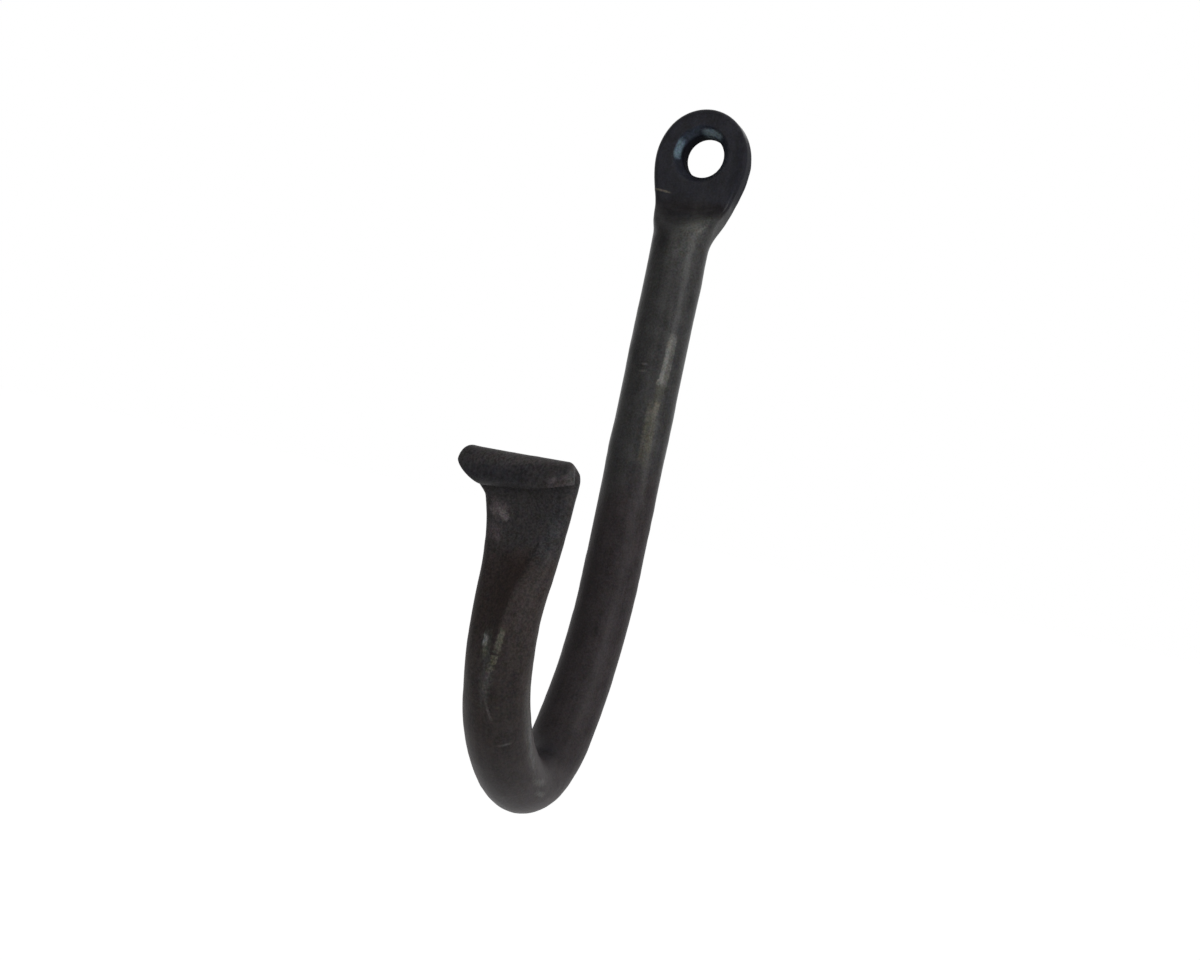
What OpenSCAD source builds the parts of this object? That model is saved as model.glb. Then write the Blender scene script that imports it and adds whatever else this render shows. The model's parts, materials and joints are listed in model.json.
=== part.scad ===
// Hand-forged wall hook: one round bar with a flattened, countersunk eye at the top, a straight
// shank, an open J bend and a thinned, spread tail whose tip is rolled forward into a lip.
// Millimetres. The origin is on the screw hole's axis in the wall plane, +Z is up, +X is the
// hook's own left-to-right as seen by someone facing the wall, and the hook stands out along -Y.

/* [Bar] */
// Diameter of the round bar
bar_d = 10; // [7:0.1:14]

/* [Eye] */
// Width across the round top of the eye
eye_d = 16.2; // [14:0.1:24]
// Thickness of the flattened eye
eye_t = 4.6; // [3:0.1:6]
// Rounding of the eye's edges
eye_edge = 1.1; // [0.3:0.05:1.4]
// Diameter of the screw hole
hole_d = 7.4; // [4:0.1:8.5]
// Diameter of the countersink at the front face
sink_d = 10; // [8.6:0.1:12]
// Depth of the countersink
sink_h = 2; // [0.8:0.05:2.4]

/* [Neck and shank] */
// How far above the hole the eye's outline starts to run into the neck
neck_rise = 4; // [0:0.1:6]
// Distance from the hole down to the full round bar
neck_len = 17; // [13:0.1:24]
// Distance from the hole down to where the shoulder starts at the sides
shoulder_at = 7.8; // [6:0.1:10]
// How much lower the shoulder starts in the middle
shoulder_bowl = 1.6; // [0:0.1:2.5]
// Length of the shoulder's ramp
shoulder_len = 6.2; // [3:0.1:9]
// Distance from the hole down to the first bend
shank_len = 74.6; // [50:0.1:110]

/* [Bends] */
// Radius of the slow bend that leaves the wall, on the bar's axis
knee_r = 55.5; // [30:0.5:90]
// Turn of the slow bend, degrees
knee_a = 30.5; // [15:0.5:45]
// Radius of the bottom bend, on the bar's axis
bend_r = 13; // [10:0.1:25]
// Turn of the bottom bend, degrees
bend_a = 88; // [70:0.5:100]
// Radius of the rising bend, on the bar's axis
rise_r = 30.5; // [22:0.5:50]
// Turn of the rising bend, degrees
rise_a = 71; // [55:0.5:80]
// Radius of the outward flare at the tip, on the bar's axis
flare_r = 26; // [18:0.5:50]
// Turn of the outward flare, degrees
flare_a = 39.4; // [20:0.1:45]

/* [Tail] */
// Length over which the bar is drawn flat before the lip
tail_len = 46; // [30:0.5:54]
// Width of the tail where the lip starts
tail_w = 16.4; // [12:0.1:24]
// Thickness of the tail where the lip starts
tail_t = 2.3; // [1.5:0.05:4]
// Swelling of the bar's half width just ahead of the tail
tail_swell = 0.2; // [0:0.05:0.6]

/* [Rolled lip] */
// How far the lip reaches out to the left of the tail
left_flare = 1.9; // [0:0.1:3]
// Radius of the roll at its left end, to the middle of the sheet
roll_left = 1.8; // [1.6:0.05:3]
// Radius of the roll at its right end, to the middle of the sheet
roll_right = 1.6; // [1.6:0.05:3]
// Turn of the roll at its left end, where the free edge is tucked under, degrees
turn_left = 255; // [150:1:265]
// Turn of the roll at its right end, where the free edge shows, degrees
turn_right = 165; // [120:1:265]
// How much earlier the roll starts at its left end
lip_lean = 0.8; // [0:0.1:1.5]
// Thickness of the lip's free edge
lip_edge_t = 1.7; // [1:0.05:2.3]
// How far the right end draws in over the top of the roll
lip_pull = 1.1; // [0:0.1:2]
// How far the right end comes out again down to the free edge
lip_reach = 1.5; // [0:0.1:2.5]
// How much of the left corner is cut away down to the free edge
lip_trim = 2.9; // [0:0.1:4]

/* [Hidden] */
$fn = 96;

around = 40;
bar_r = bar_d / 2;
eye_r = eye_d / 2;
half_eye = eye_t / 2;
bore_over = 1;

// Shapes of the laws: how late the tail spreads and thins, and how late the roll opens and loses
// its left corner.
spread_power = 3.5;
thin_power = 1.2;
opening_power = 1.5;
trim_power = 1.6;
trim_at = 0.48;

// The bar's axis as a chain of legs, each [length, turn]; the first is straight from the eye's top.
function arc_len(radius, turn) = radius * turn * PI / 180;
legs = [
    [eye_r + shank_len, 0],
    [arc_len(knee_r, knee_a), -knee_a],
    [arc_len(bend_r, bend_a), -bend_a],
    [arc_len(rise_r, rise_a), -rise_a],
    [arc_len(flare_r, flare_a), flare_a]
];

// State [y, z, heading] after a length s and a turn t from state p.
function step(p, s, t) = t == 0
    ? [p[0] + s * cos(p[2]), p[1] + s * sin(p[2]), p[2]]
    : let (rad = s / (t * PI / 180))
      [p[0] + rad * (sin(p[2] + t) - sin(p[2])), p[1] - rad * (cos(p[2] + t) - cos(p[2])), p[2] + t];
function walk(i, p) = i == len(legs) ? [p] : concat([p], walk(i + 1, step(p, legs[i][0], legs[i][1])));
function sums(i, s) = i == len(legs) ? [s] : concat([s], sums(i + 1, s + legs[i][0]));
leg_state = walk(0, [-bar_r, eye_r, -90]);
leg_s = sums(0, -eye_r);
bar_end = leg_s[len(legs)];
tail_at = bar_end - tail_len;

function leg_of(s, i = 0) = i >= len(legs) - 1 || s < leg_s[i + 1] ? i : leg_of(s, i + 1);
// State of the axis at the distance s below the hole, measured along the bar.
function axis_at(s) = let (i = leg_of(s), d = s - leg_s[i])
    step(leg_state[i], d, legs[i][1] * d / legs[i][0]);

function clamp(t, a = 0, b = 1) = min(max(t, a), b);
function smooth(t) = let (c = clamp(t)) c * c * (3 - 2 * c);
function mix(a, b, t) = a + (b - a) * t;

// Half width of the outline: a circle, then one cubic from the circle's side into the bar.
function neck_w(t) = let (
        w0 = sqrt(eye_r * eye_r - neck_rise * neck_rise),
        run = neck_len + neck_rise
    )
    w0 * (2 * t * t * t - 3 * t * t + 1)
    + run * neck_rise / w0 * (t * t * t - 2 * t * t + t)
    + bar_r * (3 * t * t - 2 * t * t * t);
function swell(s) = tail_swell * exp(-pow((s - tail_at + 0.4 * bar_d) / (1.4 * bar_d), 2));
function half_w(s) =
    s < -neck_rise ? sqrt(max(eye_r * eye_r - s * s, 0)) :
    s < neck_len ? neck_w((s + neck_rise) / (neck_len + neck_rise)) :
    s < tail_at ? bar_r + swell(s) :
    mix(bar_r, tail_w / 2, pow((s - tail_at) / tail_len, spread_power)) + swell(s);

// Shoulder: 0 on the flat eye and 1 on the round bar, late in the middle and early at the sides.
function shoulder(s, side) = smooth((s - shoulder_at - shoulder_bowl * (1 - side * side)) / shoulder_len);
function front_at(s, side) = mix(eye_t, bar_d, shoulder(s, side));
// Height above the back at which the section's front half meets its back half.
function split_at(s) = min(
    mix(half_eye, bar_r, smooth((s - shoulder_at) / (neck_len - shoulder_at))),
    front_at(s, 0) - 0.4 * eye_t);

// A quarter of a rounded section from its side round to its face, as [x, height]. The points are
// shared out by length, with the rounding of semi-axes a and b counted three times.
function quarter(w, h, a, b) = let (
        side = h - b,
        arc = 3 * (a + b) * PI / 4,
        all = side + arc + w - a
    )
    [for (i = [0:around / 4]) let (d = 4 * i / around * all)
        d < side ? [w, d] :
        d < side + arc ? [w - a + a * cos(90 * (d - side) / arc), side + b * sin(90 * (d - side) / arc)] :
        [all - d, h]];
// The whole section from the right side over the front, the left side and the back.
function ring(f, b) = let (q = around / 4) concat(
    [for (i = [0:q - 1]) f[i]],
    [for (i = [0:q - 1]) [-f[q - i][0], f[q - i][1]]],
    [for (i = [0:q - 1]) [-b[i][0], -b[i][1]]],
    [for (i = [0:q - 1]) [b[q - i][0], -b[q - i][1]]]);

// Places section points [x, height over the axis] at a state of the axis; heights grow to the front.
function place(pts, p) = [for (q = pts) [q[0], p[0] + q[1] * sin(p[2]), p[1] - q[1] * cos(p[2])]];

// Top of the eye: the edge rounding runs round the circle, so its height follows the radius.
function rim_h(x, s) = half_eye - eye_edge
    + sqrt(max(pow(eye_edge, 2) - pow(clamp(norm([x, s]) - eye_r + eye_edge, 0, eye_edge), 2), 0));
function eye_ring(s) = let (
        w = half_w(s),
        a = min(w, eye_edge * eye_r / w),
        q = quarter(w, half_eye, a, eye_edge),
        h = [for (p = q) [p[0], min(p[1], p[1] <= half_eye - eye_edge ? p[1] : rim_h(p[0], s))]]
    )
    [for (p = ring(h, h)) [p[0], p[1] + half_eye - bar_r]];

// Neck: the front rises over the shoulder while the edges grow into the round bar.
function neck_ring(s) = let (
        w = half_w(s),
        m = split_at(s),
        slow = smooth((s - shoulder_at) / (neck_len - shoulder_at)),
        fast = smooth((s - shoulder_at) / (shoulder_bowl + shoulder_len)),
        hf = front_at(s, 0) - m,
        slope = (half_w(s + 0.1) - half_w(s - 0.1)) / 0.2,
        e = min(eye_edge * sqrt(1 + slope * slope), w),
        f = quarter(w, hf, mix(e, w, fast), mix(eye_edge, hf, fast)),
        b = quarter(w, m, mix(e, w, slow), mix(eye_edge, m, slow)),
        lift = [for (p = f) [p[0], p[1] * (front_at(s, clamp(p[0] / w)) - m) / hf]]
    )
    [for (p = ring(lift, b)) [p[0], p[1] + m - bar_r]];

// A flat section with rounded sides that reaches out differently to the left and to the right.
function lopsided(wl, wr, h, a) = let (q = quarter((wl + wr) / 2, h, a, h))
    [for (p = ring(q, q)) [p[0] + (wr - wl) / 2, p[1]]];

// Bar and tail: round, then thinned evenly from both faces and spread to the sides, and more to the
// left just below the lip.
flare_from = 0.128 * tail_len;
flare_run = 0.08 * tail_len;
function tail_h(s) = mix(bar_r, tail_t / 2, smooth(pow(clamp((s - tail_at) / tail_len), thin_power)));
function bar_ring(s) = let (
        w = half_w(s),
        h = tail_h(s),
        wl = w + left_flare * smooth((s - bar_end + flare_from) / flare_run)
    )
    lopsided(wl, w, h, min(s < tail_at ? w : h, w));

// Rolled lip: past the tail's end the sheet's right side draws in and comes out again, its left
// corner is cut away, and it thins to the free edge. The share t runs from the tail to that edge.
lip_run = arc_len(roll_left, turn_left);
pull_run = tail_t;
tail_side = half_w(bar_end);
lip_l = tail_side + left_flare;
function lip_ring(t) = let (
        wl = lip_l - lip_trim * pow(sin(90 * clamp((t - trim_at) / (1 - trim_at))), trim_power),
        wr = tail_side - lip_pull * smooth(t * lip_run / pull_run) + lip_reach * smooth(t),
        h = mix(tail_t, lip_edge_t, t) / 2
    )
    lopsided(wl, wr, h, h);

// Wraps section points at the distance s into the roll, whose start, radius and turn run evenly
// from its left end to its right end.
function wrap(pts, s) = [for (v = pts) let (
        over = clamp((v[0] + lip_l) / (lip_l + tail_side)),
        start = bar_end - lip_lean * (1 - over),
        p = axis_at(min(s, start)),
        mid = mix(roll_left, roll_right, over),
        full = mix(turn_left, turn_right, pow(over, opening_power)),
        turn = full * max(s - start, 0) / (bar_end + lip_run - start),
        along = (mid + v[1]) * sin(turn),
        out = (mid + v[1]) * cos(turn) - mid
    ) [v[0], p[0] + along * cos(p[2]) + out * sin(p[2]), p[1] + along * sin(p[2]) - out * cos(p[2])]];

// Stations along the bar: close where the form changes, far apart on the straight shank.
function even(a, b, n) = [for (i = [1:n]) mix(a, b, i / n)];
eye_s = [for (i = [0:11]) -eye_r * cos(mix(2.5, acos(neck_rise / eye_r), i / 12))];
neck_s = concat(even(-neck_rise, shoulder_at, 7), even(shoulder_at, neck_len, 16));
bar_s = concat(
    even(neck_len, leg_s[1], 2),
    even(leg_s[1], leg_s[2], 7),
    even(leg_s[2], min(leg_s[3], tail_at), 9),
    even(min(leg_s[3], tail_at), tail_at, 3));
tail_s = even(tail_at, bar_end, 27);
lip_t = even(0, 1, 20);

rings = concat(
    [for (s = eye_s) place(eye_ring(s), axis_at(s))],
    [place(neck_ring(-neck_rise), axis_at(-neck_rise))],
    [for (s = neck_s) place(neck_ring(s), axis_at(s))],
    [for (s = bar_s) place(bar_ring(s), axis_at(s))],
    [for (s = tail_s) wrap(bar_ring(s), s)],
    [for (t = lip_t) wrap(lip_ring(t), bar_end + t * lip_run)]);

// Skins a list of rings of equal count. The first end closes round its own middle, and the last
// closes across from front to back, because the rolled edge is not flat.
module skin(rings) {
    n = len(rings[0]);
    last = (len(rings) - 1) * n;
    middle = len(rings) * n;
    polyhedron(
        points = concat([for (r = rings) each r], [(rings[0][0] + rings[0][n / 2]) / 2]),
        faces = concat(
            [for (j = [0:len(rings) - 2], i = [0:n - 1], half = [0, 1])
                let (a = j * n + i, b = j * n + (i + 1) % n)
                half == 0 ? [a, b, a + n] : [b, b + n, a + n]],
            [for (i = [0:n - 1]) [(i + 1) % n, i, middle]],
            [for (i = [1:n / 2 - 1]) [last + i, last + i + 1, last + n - i]],
            [for (i = [0:n / 2 - 2]) [last + i + 1, last + n - i - 1, last + (n - i) % n]]),
        convexity = 8);
}

// Screw hole with its countersink, turned about the hole's axis and running past both faces.
module screw_cut() {
    slope = (sink_d - hole_d) / 2 / sink_h;
    rotate([90, 0, 0])
        rotate_extrude()
            polygon([
                [0, -bore_over],
                [hole_d / 2, -bore_over],
                [hole_d / 2, eye_t - sink_h],
                [sink_d / 2 + slope * bore_over, eye_t + bore_over],
                [0, eye_t + bore_over]
            ]);
}

module hook() {
    color("dimgray")
        difference() {
            skin(rings);
            screw_cut();
        }
}

hook();
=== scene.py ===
import json
import math

import bpy
import numpy as np
from mathutils import Matrix, Vector


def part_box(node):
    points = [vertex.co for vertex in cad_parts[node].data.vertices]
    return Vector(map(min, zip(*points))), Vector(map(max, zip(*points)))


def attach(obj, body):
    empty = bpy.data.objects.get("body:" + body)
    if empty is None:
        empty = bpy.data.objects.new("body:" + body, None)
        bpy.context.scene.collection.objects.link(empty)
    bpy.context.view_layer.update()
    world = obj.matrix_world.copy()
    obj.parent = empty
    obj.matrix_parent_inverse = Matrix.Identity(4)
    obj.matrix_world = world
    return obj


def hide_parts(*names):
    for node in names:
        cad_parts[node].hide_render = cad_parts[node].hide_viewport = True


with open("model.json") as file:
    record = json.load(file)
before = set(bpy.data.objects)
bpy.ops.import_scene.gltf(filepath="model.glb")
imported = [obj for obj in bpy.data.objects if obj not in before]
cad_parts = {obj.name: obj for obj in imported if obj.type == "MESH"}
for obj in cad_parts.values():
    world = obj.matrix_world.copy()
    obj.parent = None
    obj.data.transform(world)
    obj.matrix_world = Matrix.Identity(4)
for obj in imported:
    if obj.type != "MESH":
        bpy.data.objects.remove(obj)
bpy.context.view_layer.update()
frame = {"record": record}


# ---- The view ----
# The hook is seen from its right, level with its middle, by a camera that is rolled, so that the
# shank leans over to the right. The lens looks straight at the hook with no shift.
mm = 0.001
degree = math.pi / 180

view_turn = 21.057 * degree
view_rise = 1.236 * degree
view_roll = 11.827 * degree
view_from = Vector((81.968, -232.703, -53.977)) * mm

view_right = Vector((math.cos(view_turn), math.sin(view_turn), 0))
view_back = Vector((
    math.sin(view_turn) * math.cos(view_rise),
    -math.cos(view_turn) * math.cos(view_rise),
    math.sin(view_rise),
))
view_up = view_back.cross(view_right)
picture_right = view_right * math.cos(view_roll) + view_up * math.sin(view_roll)
picture_up = view_up * math.cos(view_roll) - view_right * math.sin(view_roll)

lens = bpy.data.cameras.new("view")
lens.sensor_fit = "HORIZONTAL"
lens.sensor_width = 36
lens.lens = 41.541
lens.clip_start = 10 * mm
view = bpy.data.objects.new("view", lens)
view.matrix_world = Matrix.LocRotScale(
    view_from,
    Matrix((picture_right, picture_up, view_back)).transposed().to_quaternion(),
    None,
)
bpy.context.scene.collection.objects.link(view)
bpy.context.scene.camera = view
bpy.context.scene.view_settings.view_transform = "Standard"


# ---- The room ----
# A matt white studio floor well below the hook, an even white room and four soft lamps: a strong
# one on the hook's right and weaker ones in front, below and behind. The hook hangs free, with no
# wall.
hook_low, hook_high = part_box("hook")
hook_middle = (hook_low + hook_high) / 2


def wire(tree, links):
    """Joins sockets in a node tree; links are (from node, socket, to node, socket)."""
    for source, out, target, into in links:
        tree.links.new(source.outputs[out], target.inputs[into])


def seen_as_backdrop(tree):
    """A value that is 1 for rays that show the backdrop: camera, glossy and transmission rays."""
    rays = tree.nodes.new("ShaderNodeLightPath")
    glossy = tree.nodes.new("ShaderNodeMath")
    either = tree.nodes.new("ShaderNodeMath")
    glossy.operation = either.operation = "MAXIMUM"
    wire(tree, [
        (rays, "Is Glossy Ray", glossy, 0),
        (rays, "Is Transmission Ray", glossy, 1),
        (rays, "Is Camera Ray", either, 0),
        (glossy, 0, either, 1),
    ])
    return either


floor_drop = 300 * mm
floor_reach = 6.0
floor_white = 0.86
floor_glow = 0.87
floor_mesh = bpy.data.meshes.new("floor")
floor_mesh.from_pydata(
    [(x * floor_reach, y * floor_reach, hook_low.z - floor_drop)
     for x, y in ((-1, -1), (1, -1), (1, 1), (-1, 1))],
    [], [(0, 1, 2, 3)],
)
floor = bpy.data.objects.new("floor", floor_mesh)
bpy.context.scene.collection.objects.link(floor)

floor_paint = bpy.data.materials.new("floor_paint")
floor_paint.use_nodes = True
tree = floor_paint.node_tree
tree.nodes.clear()
matt = tree.nodes.new("ShaderNodeBsdfDiffuse")
matt.inputs["Color"].default_value = (floor_white, floor_white, floor_white, 1)
glow = tree.nodes.new("ShaderNodeEmission")
lift = tree.nodes.new("ShaderNodeMath")
lift.operation = "MULTIPLY"
lift.inputs[1].default_value = floor_glow
both = tree.nodes.new("ShaderNodeAddShader")
floor_out = tree.nodes.new("ShaderNodeOutputMaterial")
wire(tree, [
    (seen_as_backdrop(tree), 0, lift, 0),
    (lift, 0, glow, "Strength"),
    (matt, 0, both, 0),
    (glow, 0, both, 1),
    (both, 0, floor_out, "Surface"),
])
floor_mesh.materials.append(floor_paint)

room_level = 0.16
room = bpy.data.worlds.new("room")
room.use_nodes = True
tree = room.node_tree
tree.nodes.clear()
air = tree.nodes.new("ShaderNodeBackground")
air.inputs["Color"].default_value = (1, 1, 1, 1)
air.inputs["Strength"].default_value = room_level
white = tree.nodes.new("ShaderNodeBackground")
white.inputs["Color"].default_value = (1, 1, 1, 1)
white.inputs["Strength"].default_value = 1
pick = tree.nodes.new("ShaderNodeMixShader")
room_out = tree.nodes.new("ShaderNodeOutputWorld")
wire(tree, [
    (seen_as_backdrop(tree), 0, pick, 0),
    (air, 0, pick, 1),
    (white, 0, pick, 2),
    (pick, 0, room_out, "Surface"),
])
bpy.context.scene.world = room


def soft_lamp(name, bearing, height, distance, size, brightness):
    """A rectangular lamp that faces the hook from a bearing (from the front to the right) and a
    height above the level, with its distance and size in metres. Brightness is how bright its face
    looks, so its power is brightness * pi * area."""
    away = Vector((
        math.sin(bearing) * math.cos(height),
        -math.cos(bearing) * math.cos(height),
        math.sin(height),
    ))
    light = bpy.data.lights.new(name, "AREA")
    light.shape = "RECTANGLE"
    light.size, light.size_y = size
    light.energy = brightness * math.pi * size[0] * size[1]
    lamp = bpy.data.objects.new(name, light)
    lamp.location = hook_middle + away * distance
    lamp.rotation_euler = away.to_track_quat("Z", "Y").to_euler()
    lamp.visible_camera = False
    bpy.context.scene.collection.objects.link(lamp)
    return lamp


soft_lamp("side_lamp", 68 * degree, 12 * degree, 0.5, (0.2, 0.28), 10.0)
soft_lamp("front_lamp", -4 * degree, 10 * degree, 0.6, (0.3, 0.4), 1.7)
soft_lamp("low_lamp", 60 * degree, -75 * degree, 0.17, (0.2, 0.2), 0.05)
back_lamp = soft_lamp("back_lamp", 215 * degree, 15 * degree, 0.5, (0.3, 0.4), 3.5)
back_lamp.visible_glossy = False


# ---- The bar ----
# The hook starts as a length of round iron bar. Its axis is a straight shank, a slow bend that
# leaves the wall, the tight bottom bend, the rising bend and the outward flare at the tip.
bar_r = 5 * mm
quarter_points = 40
eye_r = 8.1 * mm
shank_len = 74.6 * mm
bends = (
    (55.5 * mm, -30.5 * degree),
    (13 * mm, -88 * degree),
    (30.5 * mm, -71 * degree),
    (26 * mm, 39.4 * degree),
)

legs = [(eye_r + shank_len, 0.0)] + [(radius * abs(turn), turn) for radius, turn in bends]
leg_starts = np.cumsum([-eye_r] + [length for length, turn in legs])
bar_end = leg_starts[-1]


def smooth(t):
    """0 up to t = 0, 1 from t = 1, and 3 t^2 - 2 t^3 between."""
    t = np.clip(t, 0, 1)
    return t * t * (3 - 2 * t)


def mix(a, b, t):
    """The value a share t of the way from a to b."""
    return a + (b - a) * t


def axis_at(s):
    """The axis at the distance s below the screw hole, measured along the bar: each leg adds a
    straight run or an arc to y and z, and its share of the turn to the heading."""
    y = np.full_like(s, -bar_r)
    z = np.full_like(s, eye_r)
    heading = np.full_like(s, -math.pi / 2)
    for start, (length, turn) in zip(leg_starts, legs):
        share = np.clip((s - start) / length, 0, 1)
        after = heading + turn * share
        half = (heading + after) / 2
        chord = length * share * np.sinc(turn * share / 2 / math.pi)
        y = y + chord * np.cos(half)
        z = z + chord * np.sin(half)
        heading = after
    return y, z, heading


def quarter(w, h, a, b, points):
    """A quarter of a rounded section from its side round to its face. It is w wide and h high with
    a corner of semi-axes a and b, and its points are shared by length, the corner's counted
    double."""
    w, h, a, b = (np.asarray(v, float)[:, None] for v in (w, h, a, b))
    side = h - b
    corner = 2 * (a + b) * math.pi / 4
    run = np.linspace(0, 1, points + 1) * (side + corner + w - a)
    angle = np.clip((run - side) / np.maximum(corner, 1e-9), 0, 1) * math.pi / 2
    on_side = run < side
    on_face = run > side + corner
    x = np.where(on_face, side + corner + w - a - run, w - a + a * np.cos(angle))
    x = np.where(on_side, w, x)
    n = np.where(on_side, run, np.where(on_face, h, side + b * np.sin(angle)))
    return x, n


def whole(front, back):
    """A whole section from two quarters: from the right side over the front, the left and the
    back."""
    (xf, nf), (xb, nb) = front, back
    x = np.concatenate([xf[:, :-1], -xf[:, :0:-1], -xb[:, :-1], xb[:, :0:-1]], 1)
    n = np.concatenate([nf[:, :-1], nf[:, :0:-1], -nb[:, :-1], -nb[:, :0:-1]], 1)
    return x, n


# ---- The eye ----
# The bar's top end is hammered flat into a round eye that lies against the wall, with its front
# edges eased over by the hammer. All sections are laid out on the straight bar and bent later.
eye_t = 4.6 * mm
half_eye = eye_t / 2
eye_edge = 1.1 * mm


def eye_sections(s):
    """Flat sections of the eye, as wide as the circle there. The edge rounding runs round the
    circle, so that a point's height is that of a quarter circle over its way in from the rim."""
    w = np.sqrt(eye_r ** 2 - s ** 2)
    edge = np.minimum(w, eye_edge * eye_r / w)
    x, n = quarter(w, np.full_like(w, half_eye), edge, np.full_like(w, eye_edge), quarter_points)
    inward = np.clip(np.hypot(x, s[:, None]) - eye_r + eye_edge, 0, eye_edge)
    rim = half_eye - eye_edge + np.sqrt(eye_edge ** 2 - inward ** 2)
    n = np.where(n <= half_eye - eye_edge, n, np.minimum(n, rim))
    x, n = whole((x, n), (x, n))
    return x, n + half_eye - bar_r


# ---- The neck ----
# Between the flat eye and the round bar the smith leaves a shoulder: a bowl-shaped step that
# starts early at the sides and late in the middle. The back stays flat against the wall.
neck_rise = 4 * mm
neck_len = 17 * mm
shoulder_at = 7.8 * mm
shoulder_bowl = 1.6 * mm
shoulder_len = 6.2 * mm


def neck_width(s):
    """Half the neck's width: one cubic that leaves the eye's circle at the circle's own slope, a
    little above the hole's middle, and runs level into the bar."""
    start = math.sqrt(eye_r ** 2 - neck_rise ** 2)
    slope = neck_rise / start
    run = neck_len + neck_rise
    t = (s + neck_rise) / run
    return (start * (2 * t ** 3 - 3 * t ** 2 + 1) + run * slope * (t ** 3 - 2 * t ** 2 + t)
            + bar_r * (3 * t ** 2 - 2 * t ** 3))


def front_height(s, side):
    """Thickness from the wall to the front at a share `side` of the half width: the eye's, then the
    smooth rise of the shoulder to the bar's, which comes later towards the middle."""
    late = shoulder_bowl * (1 - side ** 2)
    return mix(eye_t, 2 * bar_r, smooth((s - shoulder_at - late) / shoulder_len))


def neck_sections(s):
    """Sections whose edges grow from the eye's small rounding into the bar's circle, quickly at the
    front and slowly at the back, with the front raised by the shoulder."""
    w = neck_width(s)
    slow = smooth((s - shoulder_at) / (neck_len - shoulder_at))
    fast = smooth((s - shoulder_at) / (shoulder_bowl + shoulder_len))
    middle = np.minimum(mix(half_eye, bar_r, slow), front_height(s, 0.0) - 0.8 * half_eye)
    front = front_height(s, 0.0) - middle
    slope = np.gradient(w, s)
    edge = np.minimum(eye_edge * np.sqrt(1 + slope ** 2), w)
    xf, nf = quarter(w, front, mix(edge, w, fast), mix(eye_edge, front, fast), quarter_points)
    xb, nb = quarter(w, middle, mix(edge, w, slow), mix(eye_edge, middle, slow), quarter_points)
    side = np.clip(xf / w[:, None], 0, 1)
    nf = nf * (front_height(s[:, None], side) - middle[:, None]) / front[:, None]
    x, n = whole((xf, nf), (xb, nb))
    return x, n + (middle - bar_r)[:, None]


# ---- The shank and the tail ----
# The round bar runs down the wall and round the bottom bend. Past the bend it is drawn out into a
# flat, spreading tail by blows on its outer face, which leave part of the round side standing.
tail_len = 46 * mm
tail_w = 16.4 * mm
tail_t = 2.3 * mm
tail_at = bar_end - tail_len
spread_power = 3.5
thin_power = 1.2
tail_swell = 0.2 * mm
swell_ahead = 4 * mm
swell_run = 14 * mm
left_flare = 1.9 * mm
flare_from = 5.9 * mm
flare_run = 3.7 * mm
right_pull = 1.1 * mm
pull_run = 2.5 * mm
pull_lead = 1.4 * mm


def tail_width(s):
    """Half the width of the bar and the tail, which spreads with a power of the way along it, with
    a slight bell-shaped swelling ahead of it."""
    swell = tail_swell * np.exp(-((s - tail_at + swell_ahead) / swell_run) ** 2)
    return mix(bar_r, tail_w / 2, np.clip((s - tail_at) / tail_len, 0, 1) ** spread_power) + swell


def tail_half(s):
    """Half the thickness of the bar and of the tail, which thins from both faces."""
    return mix(bar_r, tail_t / 2, smooth(np.clip((s - tail_at) / tail_len, 0, 1) ** thin_power))


def drawn_in(run):
    """How far the right side is drawn in at a distance past the tail's end: a smooth step that
    starts just before the end."""
    return right_pull * smooth((run + pull_lead) / (pull_run + pull_lead))


def lopsided(left, right, h, rounding):
    """Flat sections with rounded sides that reach out differently to the left and to the right."""
    x, n = quarter((left + right) / 2, h, rounding, h, quarter_points)
    x, n = whole((x, n), (x, n))
    return x + ((right - left) / 2)[:, None], n


def bar_sections(s):
    """Round sections of the bar, then sections thinned from both faces and spread to the sides, and
    more to the left just below the lip."""
    w, h = tail_width(s), tail_half(s)
    left = w + left_flare * smooth((s - bar_end + flare_from) / flare_run)
    right = w - drawn_in(s - bar_end)
    return lopsided(left, right, h, np.minimum(np.where(s < tail_at, w, h), w))


# ---- The lip ----
# The tail's thin end is rolled outwards on a slim cone into a lip: tight at the left end, where it
# nearly closes, and loose at the right, where the free edge stands open as a small ledge.
roll_left = 1.8 * mm
roll_right = 1.6 * mm
turn_left = 255 * degree
turn_right = 165 * degree
opening_power = 1.5
lip_lean = 0.8 * mm
lip_edge_t = 1.7 * mm
lip_reach = 1.5 * mm
lip_trim = 2.9 * mm
trim_at = 0.48
trim_power = 1.6
edge_ease = 0.3 * mm

tail_end = tail_width(np.array([bar_end]))
lip_run = roll_left * turn_left


def lip_sections(run, inset):
    """Sections of the sheet past the tail's end: its right side draws in and comes out again, its
    left corner is cut away along a power of a sine, and it thins to the free edge, whose arris is
    eased by the inset."""
    share = run / lip_run
    corner = np.sin(np.clip((share - trim_at) / (1 - trim_at), 0, 1) * math.pi / 2) ** trim_power
    left = tail_end + left_flare - lip_trim * corner - inset
    right = tail_end - drawn_in(run) + lip_reach * smooth(share) - inset
    h = mix(tail_t, lip_edge_t, share) / 2 - inset
    return lopsided(left, right, h, h)


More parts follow.
